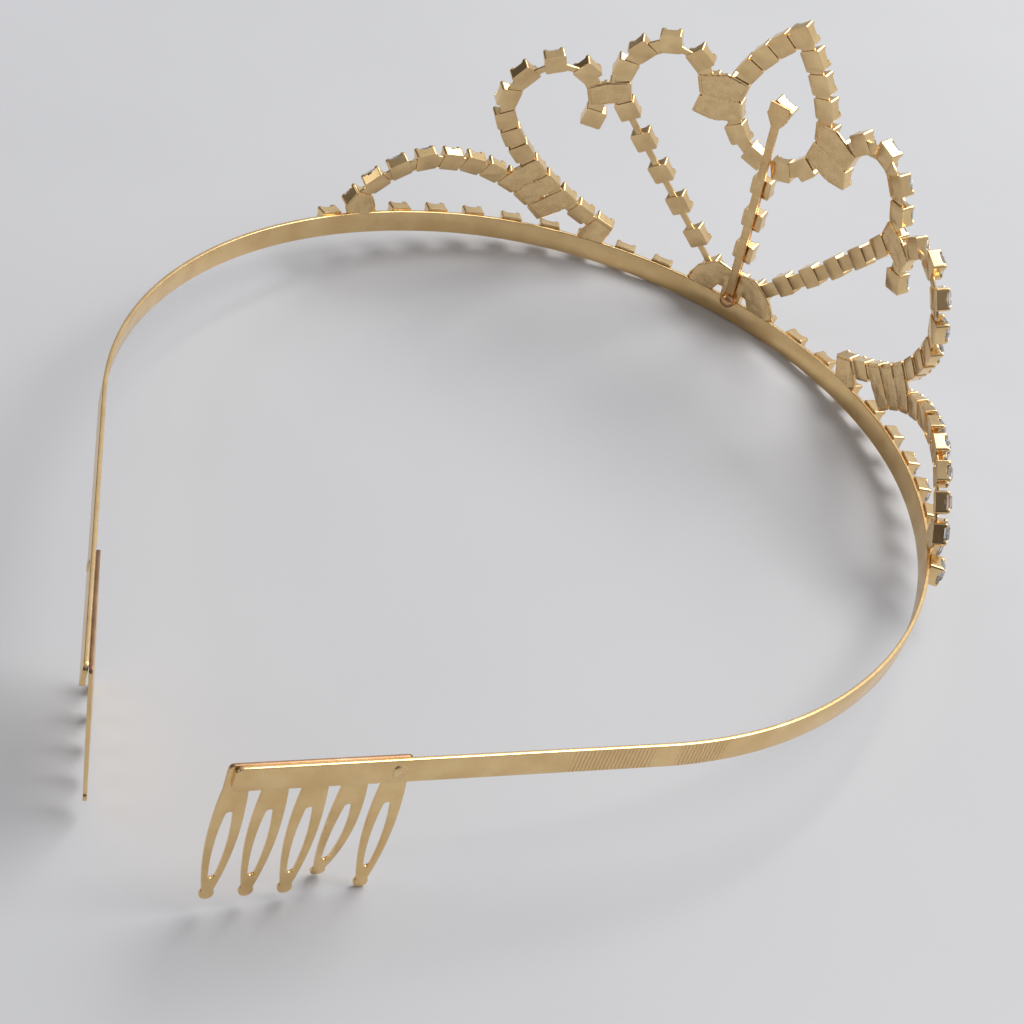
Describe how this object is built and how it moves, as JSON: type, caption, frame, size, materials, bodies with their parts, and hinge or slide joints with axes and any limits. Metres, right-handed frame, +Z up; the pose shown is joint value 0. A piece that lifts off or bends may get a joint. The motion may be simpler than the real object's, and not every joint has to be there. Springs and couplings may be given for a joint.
{
  "type": "tiara headband",
  "caption": "Sprung metal headband with a pointed front ornament of square clear stones in soldered cup chain, and a slip-in comb at each end.",
  "frame": {"origin": "on the table under the middle of the crown's bounding box, as the crown stands on the front of its strip and the foremost tooth of its combs", "axes": "+Z up from the table, +Y from the ornament at the front towards the open ends at the back, +X to the wearer's left, which is also the mirror-symmetry normal"},
  "size_m": [0.1144, 0.1484, 0.0573],
  "materials": {
    "strip_gold": "bright pale gold plating, brushed on the outer face",
    "comb_gold": "pale gold plating over stamped sheet, fine die marks",
    "cup_gold": "satin pale gold plating, bright on the folded edges",
    "link_gold": "satin pale gold plating",
    "post_gold": "satin pale gold plating",
    "solder": "plated over solder, slightly lumpy",
    "clear_stone": "polished clear cut glass"
  },
  "bodies": {
    "root": {"base_row_cups": "cup_gold", "base_row_links": "link_gold", "base_row_stones": "clear_stone", "centre_column_cups": "cup_gold", "centre_column_links": "link_gold", "centre_column_stones": "clear_stone", "centre_post": "post_gold", "chain_solder": "solder", "headband_strip": "strip_gold", "left_comb": "comb_gold", "left_comb_weld": "solder", "left_inner_scroll_cups": "cup_gold", "left_inner_scroll_links": "link_gold", "left_inner_scroll_stones": "clear_stone", "left_middle_scroll_cups": "cup_gold", "left_middle_scroll_links": "link_gold", "left_middle_scroll_stones": "clear_stone", "left_outer_arch_cups": "cup_gold", "left_outer_arch_links": "link_gold", "left_outer_arch_stones": "clear_stone", "pointed_ring_cups": "cup_gold", "pointed_ring_links": "link_gold", "pointed_ring_stones": "clear_stone", "post_cup": "cup_gold", "post_solder": "solder", "post_stone": "clear_stone", "right_comb": "comb_gold", "right_comb_weld": "solder", "right_inner_scroll_cups": "cup_gold", "right_inner_scroll_links": "link_gold", "right_inner_scroll_stones": "clear_stone", "right_middle_scroll_cups": "cup_gold", "right_middle_scroll_links": "link_gold", "right_middle_scroll_stones": "clear_stone", "right_outer_arch_cups": "cup_gold", "right_outer_arch_links": "link_gold", "right_outer_arch_stones": "clear_stone"}
  },
  "joints": []
}
